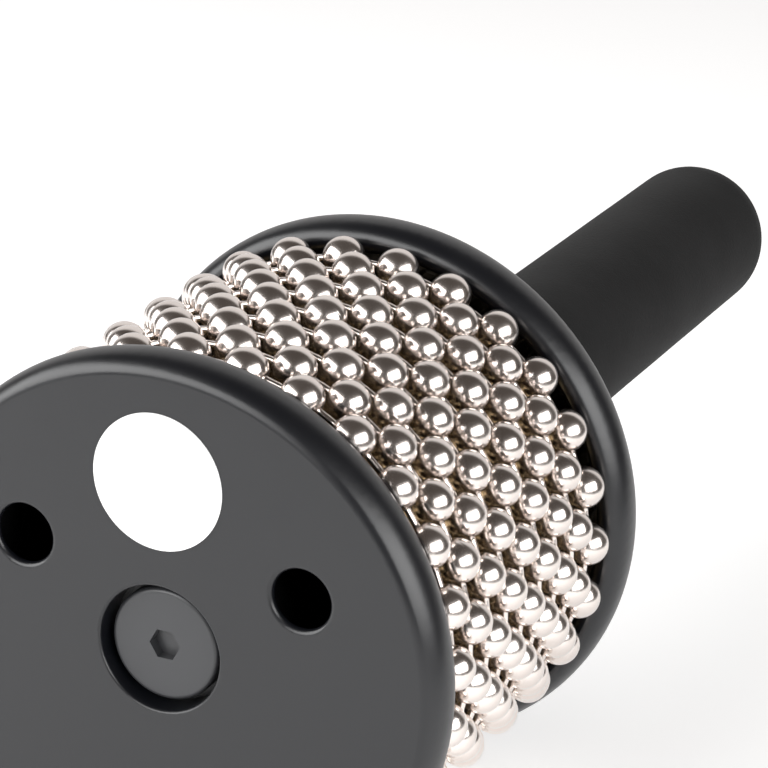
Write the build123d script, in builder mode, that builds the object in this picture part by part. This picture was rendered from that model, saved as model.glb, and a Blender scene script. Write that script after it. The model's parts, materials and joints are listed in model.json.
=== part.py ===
# Cabasa lying on its two cap rims. The drum axis runs along +Y, front cap at -Y,
# handle at +Y, floor at Z = 0. Millimetres.
import os
from math import cos, radians, sin, sqrt

from build123d import *

os.makedirs("parts", exist_ok=True)

# caps: pressed sheet whose edge is rolled into an oval rim, flush with the face
rim_radius = 51.0
rim_half_height = 3.2
rim_half_depth = 5.0
sheet = 1.2
curl_overlap = 1.5

# sound holes in the front cap
hole_count = 3
hole_radius = 5.3
hole_pitch_radius = 30.0
hole_start = 28.0
hole_edge_round = 0.9

# pressed hub cups
front_cup_radius = 11.3
rear_cup_depth = 8.0
cup_round = 0.5
cup_clearance = 0.3

# label on the front cap
label_radius = 11.95
label_offset = 30.0
label_shift = 0.6
label_thickness = 0.2

# drum
rim_skin_clearance = 2.8
skin_thickness = 0.5
ridge_height = 0.4
ridge_radius = 0.5
ridge_count = 90
seam_width = 0.6
core_wall = 2.4
hub_wall = 3.3
rib_thickness = 2.4
rib_count = 3
rib_start = 30.0

# bead chain; neighbouring loops nest, each ball beside a link of the next loop
loop_count = 9
loop_nest_gap = 1.1
loop_end_gap = 1.4
loop_shift = 0.6
bead_count = 27
bead_radius = 3.9
bead_wall = 0.5
bead_drum_clearance = 0.5
link_radius = 0.65
link_hole_clearance = 0.2
link_head_lip = 0.2
link_play = 0.02
loop_turn = 12.7

# tie bolt
bolt_radius = 3.0
bolt_clearance = 0.3
bolt_engagement = 14.0
bolt_tip_chamfer = 0.6
head_gap = 1.2
head_height = 2.8
head_round = 0.9
head_recess = 2.0
socket_flats = 5.0
socket_depth = 1.8
washer_radius = 8.0
washer_thickness = 1.2

# handle
handle_length = 169.2
dowel_radius = 11.0
dowel_clearance = 0.2
dowel_chamfer = 1.0
grip_wall = 5.4
grip_end_wall = 6.0
grip_end_flat = 2.4
insert_wall = 1.5
insert_length = 16.0
pilot_clearance = 0.4
pilot_depth = 22.0
pin_radius = 1.6
pin_length = 16.0
pin_count = 2

# radii worked out from the sizes above
rim_centre_radius = rim_radius - rim_half_height
ridge_crest_radius = rim_centre_radius - rim_half_height - rim_skin_clearance
skin_radius = ridge_crest_radius - ridge_height
core_outer_radius = skin_radius - skin_thickness
core_inner_radius = core_outer_radius - core_wall
loop_radius = ridge_crest_radius + bead_drum_clearance + bead_radius
rear_cup_radius = dowel_radius + dowel_clearance
front_cup_seat = front_cup_radius + sheet + cup_clearance
rear_cup_seat = rear_cup_radius + sheet + cup_clearance
hub_radius = max(front_cup_seat, rear_cup_seat) + hub_wall
head_radius = front_cup_radius - head_gap
bolt_bore_radius = bolt_radius + bolt_clearance
insert_radius = bolt_radius + insert_wall
pin_pitch_radius = (insert_radius + dowel_radius) / 2
pin_depth = (pin_length - sheet) / 2
grip_radius = dowel_radius + grip_wall

# places along the axis
bead_step = 360 / bead_count
half_step_span = 2 * loop_radius * sin(radians(bead_step / 4))
loop_spacing = sqrt((2 * bead_radius + loop_nest_gap) ** 2 - half_step_span**2)
cap_spacing = (loop_count - 1) * loop_spacing + 2 * (bead_radius + loop_end_gap + rim_half_depth)
overall_length = label_thickness + rim_half_depth + cap_spacing + rim_half_depth + handle_length
front_rim_y = -overall_length / 2 + label_thickness + rim_half_depth
front_face_y = front_rim_y - rim_half_depth
front_inside_y = front_face_y + sheet
rear_rim_y = front_rim_y + cap_spacing
rear_face_y = rear_rim_y + rim_half_depth
rear_inside_y = rear_face_y - sheet
drum_middle_y = (front_rim_y + rear_rim_y) / 2
drum_length = rear_inside_y - front_inside_y
head_top_y = front_face_y + head_recess
head_under_y = head_top_y + head_height
front_cup_depth = head_recess + head_height + washer_thickness
front_floor_y = front_face_y + front_cup_depth + sheet
dowel_start_y = rear_face_y - rear_cup_depth
rear_floor_y = dowel_start_y - sheet
handle_end_y = rear_face_y + handle_length
dowel_end_y = handle_end_y - grip_end_wall
bolt_end_y = dowel_start_y + bolt_engagement

axis = Axis((0, 0, rim_radius), (0, 1, 0))
radius_match = 0.001


def across(y):
    """Plane square to the drum axis, facing the handle; X and Y are the world's X and -Z."""
    return Plane(origin=(0, y, rim_radius), x_dir=(1, 0, 0), z_dir=(0, 1, 0))


def facing_front(y):
    """Plane square to the drum axis, facing the front; X and Y are the world's X and Z."""
    return Plane(origin=(0, y, rim_radius), x_dir=(1, 0, 0), z_dir=(0, -1, 0))


def section(y, inward):
    """Section plane through the axis; X runs inward from a cap, Y is the radius."""
    return Plane(origin=(0, y, rim_radius), x_dir=(0, inward, 0), z_dir=(inward, 0, 0))


def save(piece, name):
    piece.part.label = name
    export_step(piece.part, f"parts/{name}.step")


def pressed_cap(plane, cup_radius, cup_depth, bore_radius):
    """Sheet cap with a rolled rim and a hub cup, before its sound holes."""
    face_x = -rim_half_depth
    with BuildPart() as cap:
        with BuildSketch(plane) as profile:
            with Locations((0, rim_centre_radius)):
                Ellipse(rim_half_depth, rim_half_height)
                Ellipse(rim_half_depth - sheet, rim_half_height - sheet, mode=Mode.SUBTRACT)
            with Locations((face_x, rim_centre_radius)):
                opening = rim_half_depth + curl_overlap
                Rectangle(opening, rim_half_height, align=(Align.MIN, Align.MAX), mode=Mode.SUBTRACT)
            with Locations((face_x, cup_radius)):
                Rectangle(sheet, rim_centre_radius - cup_radius, align=Align.MIN)
                Rectangle(cup_depth + sheet, sheet, align=Align.MIN)
            with Locations((face_x + cup_depth, bore_radius)):
                Rectangle(sheet, cup_radius + sheet - bore_radius, align=Align.MIN)
            fillet(profile.vertices().sort_by_distance((face_x, cup_radius, 0))[0], cup_round)
        revolve(axis=axis)
    return cap.part


# front cap
with BuildPart() as front_cap:
    add(pressed_cap(section(front_rim_y, 1), front_cup_radius, front_cup_depth, bolt_bore_radius))
    with BuildSketch(facing_front(front_face_y)):
        with PolarLocations(hole_pitch_radius, hole_count, hole_start):
            Circle(hole_radius)
    extrude(amount=-2 * sheet, mode=Mode.SUBTRACT)
    circles = front_cap.edges().filter_by(GeomType.CIRCLE)
    hole_edges = circles.filter_by(lambda edge: abs(edge.radius - hole_radius) < radius_match)
    fillet(hole_edges.group_by(Axis.Y)[0], hole_edge_round)
save(front_cap, "front_cap")

# rear cap
with BuildPart() as rear_cap:
    add(pressed_cap(section(rear_rim_y, -1), rear_cup_radius, rear_cup_depth, bolt_bore_radius))
    with BuildSketch(across(rear_floor_y)):
        with PolarLocations(pin_pitch_radius, pin_count):
            Circle(pin_radius)
    extrude(amount=sheet, mode=Mode.SUBTRACT)
save(rear_cap, "rear_cap")

# blank label
with BuildPart() as blank_label:
    with BuildSketch(facing_front(front_face_y)):
        with Locations((label_shift, label_offset)):
            Circle(label_radius)
    extrude(amount=label_thickness)
save(blank_label, "blank_label")

# textured drum skin, rolled from sheet with a butt seam underneath
with BuildPart() as drum_skin:
    with BuildSketch(across(front_inside_y)):
        Circle(skin_radius)
        with PolarLocations(ridge_crest_radius - ridge_radius, ridge_count, 90 + 180 / ridge_count):
            Circle(ridge_radius)
        Circle(core_outer_radius, mode=Mode.SUBTRACT)
        with Locations((0, skin_radius)):
            Rectangle(seam_width, 4 * skin_thickness, mode=Mode.SUBTRACT)
    extrude(amount=drum_length)
save(drum_skin, "drum_skin")

# moulded drum core with hub and ribs
with BuildPart() as drum_core:
    with BuildSketch(across(front_inside_y)):
        Circle(core_outer_radius)
        Circle(core_inner_radius, mode=Mode.SUBTRACT)
        Circle(hub_radius)
        rib_span = core_inner_radius + core_wall / 2
        with PolarLocations(0, rib_count, rib_start):
            with Locations((rib_span / 2, 0)):
                Rectangle(rib_span, rib_thickness)
        Circle(bolt_bore_radius, mode=Mode.SUBTRACT)
    extrude(amount=drum_length)
    with BuildSketch(across(front_inside_y)):
        Circle(front_cup_seat)
    extrude(amount=front_floor_y - front_inside_y, mode=Mode.SUBTRACT)
    with BuildSketch(across(rear_inside_y)):
        Circle(rear_cup_seat)
    extrude(amount=rear_floor_y - rear_inside_y, mode=Mode.SUBTRACT)
    with BuildSketch(across(rear_floor_y)):
        with PolarLocations(pin_pitch_radius, pin_count):
            Circle(pin_radius)
    extrude(amount=-pin_depth, mode=Mode.SUBTRACT)
save(drum_core, "drum_core")

# tie bolt with a low flat head and a hex socket
with BuildPart() as tie_bolt:
    with BuildSketch(across(head_top_y)):
        Circle(head_radius)
    extrude(amount=head_height)
    fillet(tie_bolt.edges().sort_by(Axis.Y)[0], head_round)
    with BuildSketch(across(head_under_y)):
        Circle(bolt_radius)
    extrude(amount=bolt_end_y - head_under_y)
    chamfer(tie_bolt.edges().sort_by(Axis.Y)[-1], bolt_tip_chamfer)
    with BuildSketch(across(head_top_y)):
        RegularPolygon(socket_flats / 2, 6, major_radius=False)
    extrude(amount=socket_depth, mode=Mode.SUBTRACT)
save(tie_bolt, "tie_bolt")

with BuildPart() as bolt_washer:
    with BuildSketch(across(head_under_y)):
        Circle(washer_radius)
        Circle(bolt_bore_radius, mode=Mode.SUBTRACT)
    extrude(amount=washer_thickness)
save(bolt_washer, "bolt_washer")

# handle: dowel, threaded insert, locating pins and foam grip
with BuildPart() as handle_core:
    with BuildSketch(across(dowel_start_y)):
        Circle(dowel_radius)
    extrude(amount=dowel_end_y - dowel_start_y)
    chamfer(handle_core.edges().sort_by(Axis.Y)[-1], dowel_chamfer)
    with BuildSketch(across(dowel_start_y)):
        Circle(bolt_radius + pilot_clearance)
    extrude(amount=pilot_depth, mode=Mode.SUBTRACT)
    with BuildSketch(across(dowel_start_y)):
        Circle(insert_radius)
    extrude(amount=insert_length, mode=Mode.SUBTRACT)
    with BuildSketch(across(dowel_start_y)):
        with PolarLocations(pin_pitch_radius, pin_count):
            Circle(pin_radius)
    extrude(amount=pin_depth, mode=Mode.SUBTRACT)
save(handle_core, "handle_core")

with BuildPart() as handle_insert:
    with BuildSketch(across(dowel_start_y)):
        Circle(insert_radius)
        Circle(bolt_radius, mode=Mode.SUBTRACT)
    extrude(amount=insert_length)
save(handle_insert, "handle_insert")

with BuildPart() as locating_pins:
    with BuildSketch(across(rear_floor_y - pin_depth)):
        with PolarLocations(pin_pitch_radius, pin_count):
            Circle(pin_radius)
    extrude(amount=pin_length)
save(locating_pins, "locating_pins")

with BuildPart() as handle_grip:
    with BuildSketch(across(rear_face_y)):
        Circle(grip_radius)
    extrude(amount=handle_length)
    fillet(handle_grip.edges().sort_by(Axis.Y)[-1], grip_radius - grip_end_flat)
    with BuildSketch(across(rear_face_y)):
        Circle(dowel_radius)
    extrude(amount=dowel_end_y - rear_face_y, mode=Mode.SUBTRACT)
save(handle_grip, "handle_grip")

# one bead and one link, which the loops repeat
link_span = 2 * loop_radius * sin(radians(bead_step / 2))
link_hole_radius = link_radius + link_hole_clearance
link_head_radius = link_hole_radius + link_head_lip
hole_edge = sqrt((bead_radius - bead_wall) ** 2 - link_hole_radius**2)
head_seat = hole_edge - sqrt(link_head_radius**2 - link_hole_radius**2) - link_play

with BuildPart() as bead:
    Sphere(bead_radius)
    Sphere(bead_radius - bead_wall, mode=Mode.SUBTRACT)
    for side in (1, -1):
        with Locations(Rotation(0, 0, side * bead_step / 2) * Rotation(-90 * side, 0, 0)):
            Cylinder(
                link_hole_radius,
                2 * bead_radius,
                align=(Align.CENTER, Align.CENTER, Align.MIN),
                mode=Mode.SUBTRACT,
            )

with BuildPart() as link:
    with Locations(Rotation(90, 0, 0)):
        Cylinder(link_radius, link_span - 2 * head_seat)
    with Locations((0, link_span / 2 - head_seat, 0), (0, head_seat - link_span / 2, 0)):
        Sphere(link_head_radius)

# bead loops, counted from the front; every second loop is turned by half a step
for number in range(1, loop_count + 1):
    loop_y = drum_middle_y + loop_shift + (number - (loop_count + 1) / 2) * loop_spacing
    turn = loop_turn - (number - 1) % 2 * bead_step / 2
    with BuildPart(facing_front(loop_y)) as loop_beads:
        with PolarLocations(loop_radius, bead_count, turn):
            add(bead.part)
    save(loop_beads, f"loop_{number}_beads")
    with BuildPart(facing_front(loop_y)) as loop_links:
        with PolarLocations(loop_radius * cos(radians(bead_step / 2)), bead_count, turn + bead_step / 2):
            add(link.part)
    save(loop_links, f"loop_{number}_links")
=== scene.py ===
"""Cabasa: fine bead chain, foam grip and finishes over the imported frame. Metres, +Z up."""

import json
import math
import random

import bpy
from mathutils import Matrix, Quaternion, Vector, noise


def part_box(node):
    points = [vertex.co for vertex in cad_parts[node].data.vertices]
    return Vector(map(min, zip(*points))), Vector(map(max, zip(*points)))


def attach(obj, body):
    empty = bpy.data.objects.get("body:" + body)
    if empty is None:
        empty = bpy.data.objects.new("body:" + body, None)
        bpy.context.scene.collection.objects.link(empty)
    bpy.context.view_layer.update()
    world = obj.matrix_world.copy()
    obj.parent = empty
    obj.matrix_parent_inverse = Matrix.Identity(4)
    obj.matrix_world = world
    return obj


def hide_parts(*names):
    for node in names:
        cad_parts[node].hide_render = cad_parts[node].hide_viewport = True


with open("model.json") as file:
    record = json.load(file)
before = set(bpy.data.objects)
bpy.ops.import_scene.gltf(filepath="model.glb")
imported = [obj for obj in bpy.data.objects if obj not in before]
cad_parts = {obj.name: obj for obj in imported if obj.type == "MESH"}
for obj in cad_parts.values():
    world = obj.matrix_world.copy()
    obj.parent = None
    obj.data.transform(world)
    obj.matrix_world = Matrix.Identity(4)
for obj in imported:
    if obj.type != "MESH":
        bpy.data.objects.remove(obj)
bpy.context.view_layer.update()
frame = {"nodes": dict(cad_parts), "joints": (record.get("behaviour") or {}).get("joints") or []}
nodes = frame["nodes"]

MM = 0.001

# the chain, as in the CAD model
BEAD_COUNT = 27
BEAD_RADIUS = 3.9 * MM
LOOP_RADIUS = 46.2 * MM
LOOP_TURN = math.radians(12.7)
BEAD_STEP = 2 * math.pi / BEAD_COUNT
LINK_RADIUS = 0.65 * MM
LINK_HOLE_RADIUS = 0.85 * MM
LINK_HEAD_RADIUS = 1.05 * MM
LINK_HEAD_SEAT = 2.656 * MM

# the foam grip, as in the CAD model
DOWEL_RADIUS = 11.0 * MM
GRIP_END_WALL = 6.0 * MM
GRIP_END_FLAT = 2.4 * MM
GRIP_EDGE_ROUND = 1.0 * MM
FOAM_WAVE = 0.1 * MM

# the photograph's view
VIEW_AZIMUTH = math.radians(26.135)
VIEW_ELEVATION = math.radians(20.734)
VIEW_DISTANCE = 657.8 * MM
VIEW_TARGET = Vector((-21.15, -0.52, 51.0)) * MM
VIEW_LENS = 153.64
SENSOR = 36.0

# the studio, in metres; turns are from the camera's heading, to the right as the camera sees it
SOFTBOX_DISTANCE = 0.9
SOFTBOX_RIGHT = {"turn": 47, "elevation": 17, "size": (1.03, 0.58), "roll": 0, "power": 9.5}
SOFTBOX_LEFT = {"turn": -73, "elevation": 27, "size": (1.46, 0.70), "roll": 4, "power": 16}
BACKDROP_TURN = math.radians(168)
BACKDROP_ELEVATION = math.radians(10)
BACKDROP_SPREAD = (math.radians(52), math.radians(40))
ROOM_COLOUR = (0.080, 0.070, 0.063, 1)
BACKDROP_COLOUR = (0.86, 0.84, 0.83, 1)
TABLE_FRONT = -0.5
TABLE_BACK = 2.5
TABLE_RIGHT = 0.23
TABLE_LEFT = -1.5

front_low, front_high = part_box("front_cap")
AXIS_Z = (front_low.z + front_high.z) / 2


# materials

def new_material(name, **sockets):
    """A material and its Principled shader, with constant values set on the shader's own sockets."""
    material = bpy.data.materials.new(name)
    material.use_nodes = True
    shader = material.node_tree.nodes["Principled BSDF"]
    for socket, value in sockets.items():
        shader.inputs[socket.replace("_", " ")].default_value = value
    return material, shader


def add_node(material, kind, **values):
    node = material.node_tree.nodes.new(kind)
    for name, value in values.items():
        if name in node.inputs:
            node.inputs[name].default_value = value
        else:
            setattr(node, name, value)
    return node


def link(material, source, target):
    material.node_tree.links.new(source, target)


def object_coordinates(material, scale=(1, 1, 1)):
    coordinates = add_node(material, "ShaderNodeTexCoord")
    mapping = add_node(material, "ShaderNodeMapping")
    mapping.inputs["Scale"].default_value = scale
    link(material, coordinates.outputs["Object"], mapping.inputs["Vector"])
    return mapping.outputs["Vector"]


def noise_texture(material, vector, scale, detail=4.0, roughness=0.55):
    texture = add_node(material, "ShaderNodeTexNoise", Scale=scale, Detail=detail, Roughness=roughness)
    link(material, vector, texture.inputs["Vector"])
    return texture.outputs["Fac"]


def ramp(material, fac, low, high, low_at=0.3, high_at=0.7):
    """Colour ramp between two grey values or two colours."""
    node = add_node(material, "ShaderNodeValToRGB")
    for element, at, value in zip(node.color_ramp.elements, (low_at, high_at), (low, high)):
        element.position = at
        element.color = (*value, 1) if isinstance(value, tuple) else (value, value, value, 1)
    link(material, fac, node.inputs["Fac"])
    return node.outputs["Color"]


def bump(material, shader, height, distance, strength=1.0, before=None):
    node = add_node(material, "ShaderNodeBump", Strength=strength, Distance=distance)
    link(material, height, node.inputs["Height"])
    if before is not None:
        link(material, before, node.inputs["Normal"])
    link(material, node.outputs["Normal"], shader.inputs["Normal"])
    return node.outputs["Normal"]


def satin_black(name, colour, roughness, spread):
    """Black paint with a faint orange peel and uneven gloss."""
    material, shader = new_material(name, Base_Color=(*colour, 1), Specular_IOR_Level=0.6)
    vector = object_coordinates(material)
    gloss = noise_texture(material, vector, scale=90, detail=5)
    uneven = ramp(material, gloss, low=roughness - spread, high=roughness + spread)
    link(material, uneven, shader.inputs["Roughness"])
    waves = noise_texture(material, vector, scale=1100, detail=2)
    peel = bump(material, shader, waves, distance=0.02 * MM, strength=0.5)
    grain = noise_texture(material, vector, scale=4200, detail=1)
    bump(material, shader, grain, distance=0.006 * MM, strength=0.5, before=peel)
    return material


def polished_nickel():
    """Bright plating with a light haze."""
    material, shader = new_material("polished_nickel", Base_Color=(0.80, 0.735, 0.695, 1), Metallic=1.0)
    vector = object_coordinates(material)
    haze = noise_texture(material, vector, scale=260, detail=5)
    link(material, ramp(material, haze, low=0.19, high=0.25), shader.inputs["Roughness"])
    marks = noise_texture(material, vector, scale=1500, detail=3)
    bump(material, shader, marks, distance=0.004 * MM, strength=0.4)
    return material


def ridged_steel():
    """Drum skin: steel, stained and brushed along the drum; its colour is kept dark brownish gold as
    painted shade between the beads.
    """
    material, shader = new_material("ridged_steel", Metallic=1.0)
    vector = object_coordinates(material)
    stain = noise_texture(material, vector, scale=120, detail=6)
    # painted shade: both ends of this colour ramp are dark brownish gold, standing in for the shade in
    # the gaps between the beads
    colour = ramp(material, stain, low=(0.13, 0.095, 0.05), high=(0.28, 0.21, 0.125))
    link(material, colour, shader.inputs["Base Color"])
    link(material, ramp(material, stain, low=0.14, high=0.30), shader.inputs["Roughness"])
    brushed = object_coordinates(material, scale=(1, 0.03, 1))
    lines = noise_texture(material, brushed, scale=5000, detail=2)
    bump(material, shader, lines, distance=0.01 * MM, strength=0.6)
    return material


def black_foam():
    """Closed-cell foam: fine pores, a soft mottle and no gloss."""
    values = {"Roughness": 0.92, "Sheen_Weight": 0.03, "Specular_IOR_Level": 0.25}
    material, shader = new_material("black_foam", **values)
    vector = object_coordinates(material)
    mottle = noise_texture(material, vector, scale=60, detail=5, roughness=0.6)
    colour = ramp(material, mottle, low=(0.005, 0.005, 0.0052), high=(0.0095, 0.0095, 0.0098))
    link(material, colour, shader.inputs["Base Color"])
    cells = add_node(material, "ShaderNodeTexVoronoi", Scale=2600)
    link(material, vector, cells.inputs["Vector"])
    pores = bump(material, shader, cells.outputs["Distance"], distance=0.06 * MM, strength=0.7)
    dents = noise_texture(material, vector, scale=700, detail=4)
    bump(material, shader, dents, distance=0.08 * MM, strength=0.5, before=pores)
    return material


def white_vinyl():
    material, shader = new_material("white_vinyl", Roughness=0.38)
    vector = object_coordinates(material)
    tint = noise_texture(material, vector, scale=150, detail=4)
    colour = ramp(material, tint, low=(0.84, 0.84, 0.84), high=(0.88, 0.88, 0.88))
    link(material, colour, shader.inputs["Base Color"])
    texture = noise_texture(material, vector, scale=2500, detail=2)
    bump(material, shader, texture, distance=0.008 * MM, strength=0.4)
    return material


def moulded_black():
    material, shader = new_material("moulded_black", Base_Color=(0.012, 0.012, 0.013, 1))
    vector = object_coordinates(material)
    grain = noise_texture(material, vector, scale=1800, detail=3)
    link(material, ramp(material, grain, low=0.45, high=0.6), shader.inputs["Roughness"])
    bump(material, shader, grain, distance=0.03 * MM, strength=0.5)
    return material


def dowel_wood():
    material, shader = new_material("dowel_wood")
    vector = object_coordinates(material, scale=(1, 0.05, 1))
    grain = noise_texture(material, vector, scale=500, detail=6)
    colour = ramp(material, grain, low=(0.36, 0.22, 0.11), high=(0.62, 0.45, 0.27))
    link(material, colour, shader.inputs["Base Color"])
    link(material, ramp(material, grain, low=0.5, high=0.7), shader.inputs["Roughness"])
    bump(material, shader, grain, distance=0.05 * MM, strength=0.5)
    return material


def machined_metal(name, colour):
    material, shader = new_material(name, Base_Color=(*colour, 1), Metallic=1.0)
    vector = object_coordinates(material)
    marks = noise_texture(material, vector, scale=900, detail=4)
    link(material, ramp(material, marks, low=0.22, high=0.38), shader.inputs["Roughness"])
    bump(material, shader, marks, distance=0.01 * MM, strength=0.5)
    return material


def paint(node_name, material):
    slots = nodes[node_name].data.materials
    slots.clear()
    slots.append(material)


# meshes

def mesh_object(name, points, faces, material):
    mesh = bpy.data.meshes.new(name)
    mesh.from_pydata(points, [], faces)
    mesh.materials.append(material)
    mesh.polygons.foreach_set("use_smooth", [True] * len(mesh.polygons))
    mesh.update()
    piece = bpy.data.objects.new(name, mesh)
    bpy.context.scene.collection.objects.link(piece)
    return piece


def lathe(profile, angles):
    """Closed surface turned about +Y from (along, radius) pairs; pairs of radius 0 close the ends."""
    points, rings, faces = [], [], []
    for along, radius in profile:
        if radius == 0:
            rings.append([len(points)] * len(angles))
            points.append(Vector((0, along, 0)))
        else:
            rings.append(list(range(len(points), len(points) + len(angles))))
            points.extend(Vector((radius * math.cos(a), along, radius * math.sin(a))) for a in angles)
    for one, two in zip(rings, rings[1:]):
        for k in range(len(angles)):
            after = (k + 1) % len(angles)
            corners = (one[k], one[after], two[after], two[k])
            faces.append(tuple(dict.fromkeys(corners)))
    return points, faces


def turn_angles(count):
    return [2 * math.pi * k / count for k in range(count)]


def arc(centre_along, centre_radius, radius, start, end, count):
    """Profile points on an arc; the angle is measured from +along towards +radius."""
    steps = [start + (end - start) * k / count for k in range(count + 1)]
    return [(centre_along + radius * math.cos(a), centre_radius + radius * math.sin(a)) for a in steps]


# bead chain

BEAD_SIDES = 30
BEAD_RINGS = 20
LIP_STEPS = 3
LINK_SIDES = 14
LINK_HEAD_STEPS = 8
SEAM_HALF_WIDTH = 0.025
SEAM_DEPTH = 0.012 * MM
LIP = 0.12 * MM
BEAD_WALL = 0.5 * MM


def bead_shape():
    """Hollow ball on a chain along Y, with a rolled lip at each hole and a fine seam between them."""
    seam = [-SEAM_HALF_WIDTH, 0.0, SEAM_HALF_WIDTH]
    angles = seam + turn_angles(BEAD_SIDES)[1:]
    start = math.asin((LINK_HOLE_RADIUS + LIP) / BEAD_RADIUS)
    shell = arc(0, 0, BEAD_RADIUS, start, math.pi - start, BEAD_RINGS)
    mouth = shell[0][0]
    lip = arc(mouth - LIP, LINK_HOLE_RADIUS + LIP, LIP, 0, -math.pi / 2, LIP_STEPS)[1:]
    bore = [(mouth - LIP - BEAD_WALL, LINK_HOLE_RADIUS)]
    hole = bore + list(reversed(lip))
    profile = hole + shell + [(-along, radius) for along, radius in reversed(hole)]
    points, faces = lathe(profile, angles)
    for k in range(1, len(points), len(angles)):
        points[k] -= points[k].normalized() * SEAM_DEPTH
    return points, faces


def bend_to_links(point):
    """Swings each half of a bead so that its hole faces its own link."""
    swing = BEAD_STEP / 2 * max(-1.0, min(1.0, point.y / BEAD_RADIUS))
    return Matrix.Rotation(swing, 3, "Z") @ point


def link_shape(span):
    """Dumbbell pin along Y whose heads sit inside two beads."""
    seat = span / 2 - LINK_HEAD_SEAT
    meet = math.asin(LINK_RADIUS / LINK_HEAD_RADIUS)
    head = arc(seat, 0, LINK_HEAD_RADIUS, 0, math.pi - meet, LINK_HEAD_STEPS)
    head[0] = (head[0][0], 0)
    rod = [(head[-1][0] * share, LINK_RADIUS) for share in (0.5, 0, -0.5)]
    profile = head + rod + [(-along, radius) for along, radius in reversed(head)]
    return lathe(profile, turn_angles(LINK_SIDES))


def chain_frame(angle, radius, along):
    """Local X outward, Y along the chain and Z towards the front cap, at an angle round the drum."""
    outward = Vector((math.cos(angle), 0, math.sin(angle)))
    tangent = Vector((-math.sin(angle), 0, math.cos(angle)))
    place = Matrix((outward, tangent, (0, -1, 0))).transposed().to_4x4()
    place.translation = Vector((0, along, AXIS_Z)) + outward * radius
    return place


def repeat(shape, places):
    points, faces = [], []
    for place in places:
        start = len(points)
        points.extend(place @ point for point in shape[0])
        faces.extend(tuple(start + k for k in face) for face in shape[1])
    return points, faces


def chain_loop(number, along, nickel):
    turn = LOOP_TURN - (number - 1) % 2 * BEAD_STEP / 2
    spin = random.Random(number)
    bead_points, bead_faces = bead_shape()
    points, faces = [], []
    for k in range(BEAD_COUNT):
        roll = Matrix.Rotation(spin.uniform(0, 2 * math.pi), 3, "Y")
        place = chain_frame(turn + k * BEAD_STEP, LOOP_RADIUS, along)
        start = len(points)
        points.extend(place @ bend_to_links(roll @ point) for point in bead_points)
        faces.extend(tuple(start + index for index in face) for face in bead_faces)
    beads = mesh_object(f"chain_{number}_balls", points, faces, nickel)
    span = 2 * LOOP_RADIUS * math.sin(BEAD_STEP / 2)
    middle = LOOP_RADIUS * math.cos(BEAD_STEP / 2)
    places = [chain_frame(turn + (k + 0.5) * BEAD_STEP, middle, along) for k in range(BEAD_COUNT)]
    links = mesh_object(f"chain_{number}_pins", *repeat(link_shape(span), places), nickel)
    for piece, kind, slot in ((beads, "beads", "nickel_bead"), (links, "links", "nickel_link")):
        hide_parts(f"loop_{number}_{kind}")
        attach(piece, f"loop_{number}")


# foam grip

GRIP_ROWS = 90
GRIP_SIDES = 96
GRIP_EDGE_STEPS = 6
GRIP_END_STEPS = 24
FOAM_WAVES = Vector((90, 45, 90))


def foam_grip(material):
    """Sleeve with a rounded end, in place of the plain grip; its outside is slightly uneven."""
    low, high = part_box("handle_grip")
    radius = (high.x - low.x) / 2
    rounding = radius - GRIP_END_FLAT
    bore_end = high.y - GRIP_END_WALL
    straight_end = high.y - rounding
    straight_start = low.y + GRIP_EDGE_ROUND
    straight_length = straight_end - straight_start
    straight = [straight_start + straight_length * k / GRIP_ROWS for k in range(1, GRIP_ROWS)]
    edge_centre = radius - GRIP_EDGE_ROUND
    edge = arc(straight_start, edge_centre, GRIP_EDGE_ROUND, math.pi / 2, math.pi, GRIP_EDGE_STEPS)
    end = arc(straight_end, GRIP_END_FLAT, rounding, 0, math.pi / 2, GRIP_END_STEPS)
    profile = [(bore_end, 0), (bore_end, DOWEL_RADIUS), (low.y, DOWEL_RADIUS)]
    profile += reversed(edge)
    profile += [(along, radius) for along in straight]
    profile += reversed(end)
    profile += [(high.y, 0)]
    points, faces = lathe(profile, turn_angles(GRIP_SIDES))
    for point in points:
        outer = math.hypot(point.x, point.z)
        if outer > DOWEL_RADIUS and low.y < point.y < high.y:
            wave = noise.noise(point * FOAM_WAVES)
            shrink = FOAM_WAVE * (wave - 1) / 2 / outer
            point.x += point.x * shrink
            point.z += point.z * shrink
        point.z += AXIS_Z
    grip = mesh_object("foam_grip", points, faces, material)
    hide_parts("handle_grip")
    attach(grip, "drum")


# studio

def level_direction(azimuth):
    """Horizontal direction from the object to a viewer at that azimuth."""
    return Vector((math.sin(azimuth), -math.cos(azimuth), 0))


def aim(turn, elevation):
    """Direction from the object, for a turn from the camera's heading and an elevation."""
    towards = level_direction(VIEW_AZIMUTH + turn) * math.cos(elevation)
    towards.z = math.sin(elevation)
    return towards


def table(material):
    corners = [
        Vector((side, depth, 0))
        for side, depth in (
            (TABLE_LEFT, TABLE_FRONT),
            (TABLE_RIGHT, TABLE_FRONT),
            (TABLE_RIGHT, TABLE_BACK),
            (TABLE_LEFT, TABLE_BACK),
        )
    ]
    floor = mesh_object("table_top", corners, [(0, 1, 2, 3)], material)


def softbox(name, turn, elevation, size, roll, power):
    light = bpy.data.lights.new(name, "AREA")
    light.shape = "RECTANGLE"
    light.size, light.size_y = size
    light.energy = power
    lamp = bpy.data.objects.new(name, light)
    towards = aim(math.radians(turn), math.radians(elevation))
    drum_low, drum_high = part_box("drum_skin")
    lamp.location = (drum_low + drum_high) / 2 + towards * SOFTBOX_DISTANCE
    lamp.rotation_mode = "QUATERNION"
    facing = (-towards).to_track_quat("-Z", "Y")
    lamp.rotation_quaternion = facing @ Quaternion((0, 0, 1), math.radians(roll))
    lamp.visible_camera = False
    bpy.context.scene.collection.objects.link(lamp)


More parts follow.
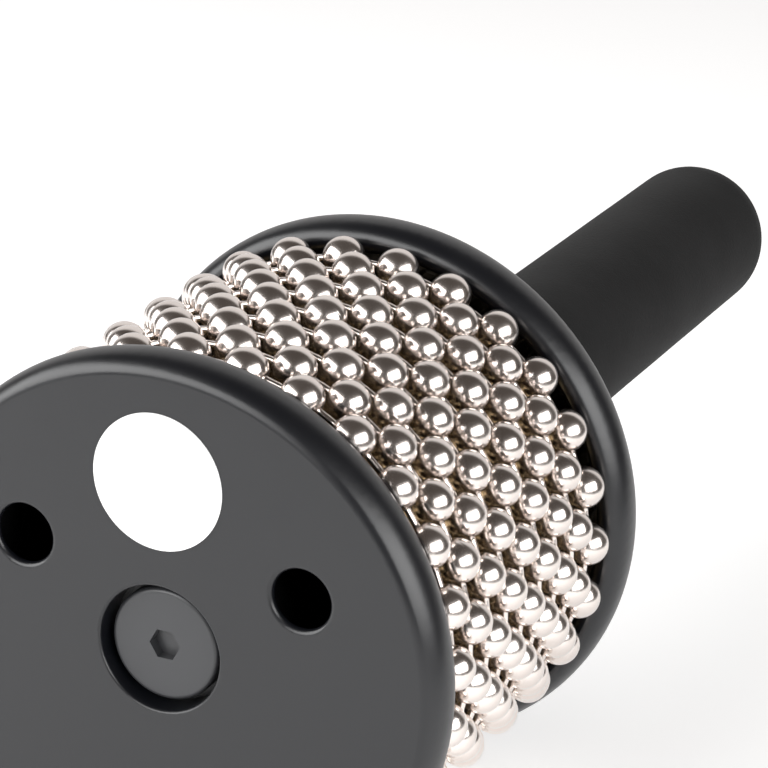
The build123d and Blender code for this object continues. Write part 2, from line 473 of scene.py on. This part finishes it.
def surroundings():
    """A white backdrop behind the object in a dim room; the camera itself sees plain white."""
    world = bpy.data.worlds.new("studio")
    bpy.context.scene.world = world
    world.use_nodes = True
    tree = world.node_tree
    room = tree.nodes["Background"]
    coordinates = tree.nodes.new("ShaderNodeTexCoord")
    along = tree.nodes.new("ShaderNodeVectorMath")
    along.operation = "DOT_PRODUCT"
    along.inputs[1].default_value = aim(BACKDROP_TURN, BACKDROP_ELEVATION)
    tree.links.new(coordinates.outputs["Generated"], along.inputs[0])
    edge = tree.nodes.new("ShaderNodeValToRGB")
    colours = (ROOM_COLOUR, BACKDROP_COLOUR)
    for element, spread, colour in zip(edge.color_ramp.elements, BACKDROP_SPREAD, colours):
        element.position = math.cos(spread)
        element.color = colour
    tree.links.new(along.outputs["Value"], edge.inputs["Fac"])
    tree.links.new(edge.outputs["Color"], room.inputs["Color"])
    plain = tree.nodes.new("ShaderNodeBackground")
    plain.inputs["Color"].default_value = (1, 1, 1, 1)
    path = tree.nodes.new("ShaderNodeLightPath")
    choose = tree.nodes.new("ShaderNodeMixShader")
    tree.links.new(path.outputs["Is Camera Ray"], choose.inputs["Fac"])
    tree.links.new(room.outputs["Background"], choose.inputs[1])
    tree.links.new(plain.outputs["Background"], choose.inputs[2])
    tree.links.new(choose.outputs["Shader"], tree.nodes["World Output"].inputs["Surface"])


def camera():
    data = bpy.data.cameras.new("photo_view")
    data.lens = VIEW_LENS
    data.sensor_width = SENSOR
    view = bpy.data.objects.new("photo_view", data)
    back = level_direction(VIEW_AZIMUTH) * math.cos(VIEW_ELEVATION)
    back.z = math.sin(VIEW_ELEVATION)
    view.location = VIEW_TARGET + back * VIEW_DISTANCE
    view.rotation_mode = "QUATERNION"
    view.rotation_quaternion = (-back).to_track_quat("-Z", "Y")
    bpy.context.scene.collection.objects.link(view)
    bpy.context.scene.camera = view


def main():
    caps = satin_black("satin_black_paint", colour=(0.0035, 0.004, 0.0058), roughness=0.34, spread=0.03)
    bolt = satin_black("black_bolt", colour=(0.03, 0.031, 0.034), roughness=0.36, spread=0.05)
    plain_steel = machined_metal("zinc_steel", (0.62, 0.62, 0.60))
    for name, material in {
        "front_cap": caps,
        "rear_cap": caps,
        "blank_label": white_vinyl(),
        "drum_skin": ridged_steel(),
        "drum_core": moulded_black(),
        "tie_bolt": bolt,
        "bolt_washer": plain_steel,
        "locating_pins": plain_steel,
        "handle_core": dowel_wood(),
        "handle_insert": machined_metal("insert_brass", (0.80, 0.60, 0.28)),
    }.items():
        paint(name, material)
    nickel = polished_nickel()
    for joint in frame["joints"]:
        number = int(joint["child"].split("_")[1])
        chain_loop(number, joint["pos_m"][1], nickel)
    foam_grip(black_foam())
    paper, _ = new_material(
        "white_paper",
        Base_Color=(0.92, 0.92, 0.92, 1),
        Roughness=0.8,
        Emission_Color=(1, 1, 1, 1),
        Emission_Strength=0.4,
    )
    table(paper)
    softbox("softbox_left", **SOFTBOX_LEFT)
    softbox("softbox_right", **SOFTBOX_RIGHT)
    surroundings()
    camera()
    bpy.context.scene.view_settings.view_transform = "Standard"


main()
